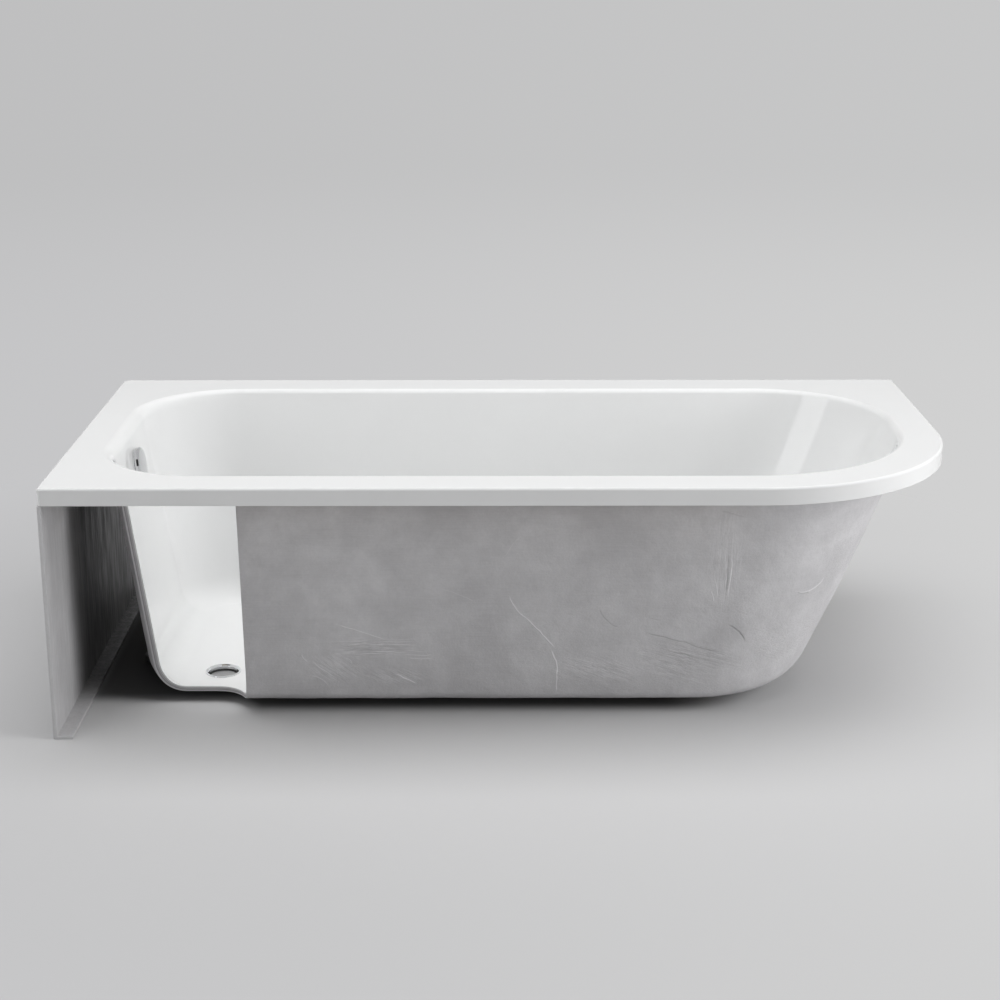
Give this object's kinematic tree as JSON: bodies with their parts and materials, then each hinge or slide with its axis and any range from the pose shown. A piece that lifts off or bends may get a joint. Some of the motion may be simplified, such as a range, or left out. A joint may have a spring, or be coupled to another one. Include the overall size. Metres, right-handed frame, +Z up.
{
  "type": "j-shaped shower bath",
  "caption": "J-shaped shower bath with one rounded end, cut away at the square end to show the wall build-up, with end panel, pop-up waste and turning overflow.",
  "frame": {"origin": "middle of the footprint, on the floor", "axes": "+X to the rounded end, +Y to the wall at the back, +Z up; the long open side faces -Y"},
  "size_m": [1.7, 0.85, 0.485],
  "materials": {
    "white_acrylic": "white gloss acrylic sheet",
    "grey_backing": "mottled grey glass-reinforced resin, hand rolled",
    "grey_panel": "semi-gloss grey board",
    "board": "raw particle board",
    "chrome": "polished chrome",
    "steel": "zinc-plated steel",
    "black_plastic": "black moulded plastic",
    "hose_plastic": "grey ribbed plastic",
    "rubber": "black rubber"
  },
  "bodies": {
    "tub": {"acrylic_shell": "white_acrylic", "reinforcement_shell": "grey_backing", "baseboard": "board", "front_batten": "board", "back_batten": "board", "left_batten": "board", "right_batten": "board", "end_panel": "grey_panel", "waste_flange": "chrome", "overflow_grate": "chrome", "waste_gasket": "rubber", "overflow_gasket": "rubber", "waste_body": "black_plastic", "overflow_body": "black_plastic", "pull_cable": "black_plastic", "overflow_hose": "hose_plastic", "upper_hose_clip": "steel", "lower_hose_clip": "steel", "panel_bracket_1": "steel", "bracket_screw_1": "steel", "panel_bracket_2": "steel", "bracket_screw_2": "steel", "panel_bracket_3": "steel", "bracket_screw_3": "steel", "foot_insert_1": "steel", "foot_locknut_1": "steel", "foot_insert_2": "steel", "foot_locknut_2": "steel", "foot_insert_3": "steel", "foot_locknut_3": "steel", "foot_insert_4": "steel", "foot_locknut_4": "steel", "foot_insert_5": "steel", "foot_locknut_5": "steel"},
    "overflow_knob": {"overflow_knob": "chrome"},
    "plug": {"waste_plug": "chrome", "plug_seal": "rubber"},
    "foot_1": {"levelling_foot_1": "black_plastic"},
    "foot_2": {"levelling_foot_2": "black_plastic"},
    "foot_3": {"levelling_foot_3": "black_plastic"},
    "foot_4": {"levelling_foot_4": "black_plastic"},
    "foot_5": {"levelling_foot_5": "black_plastic"}
  },
  "joints": [
    {"name": "overflow_turn", "type": "hinge", "parent": "tub", "child": "overflow_knob", "pos_m": [-0.75062, 0, 0.409], "axis": [0.989, 0, 0.1481], "range_deg": [0, 75]},
    {"name": "plug_lift", "type": "slide", "parent": "tub", "child": "plug", "axis": [0, 0, 1], "range_m": [0, 0.008]},
    {"name": "foot_1_level", "type": "slide", "parent": "tub", "child": "foot_1", "axis": [0, 0, -1], "range_m": [0, 0.006]},
    {"name": "foot_2_level", "type": "slide", "parent": "tub", "child": "foot_2", "axis": [0, 0, -1], "range_m": [0, 0.006]},
    {"name": "foot_3_level", "type": "slide", "parent": "tub", "child": "foot_3", "axis": [0, 0, -1], "range_m": [0, 0.006]},
    {"name": "foot_4_level", "type": "slide", "parent": "tub", "child": "foot_4", "axis": [0, 0, -1], "range_m": [0, 0.006]},
    {"name": "foot_5_level", "type": "slide", "parent": "tub", "child": "foot_5", "axis": [0, 0, -1], "range_m": [0, 0.006]}
  ],
  "couplings": [
    {"joint": "plug_lift", "follows": "overflow_turn", "m_per_rad": 0.006111}
  ]
}
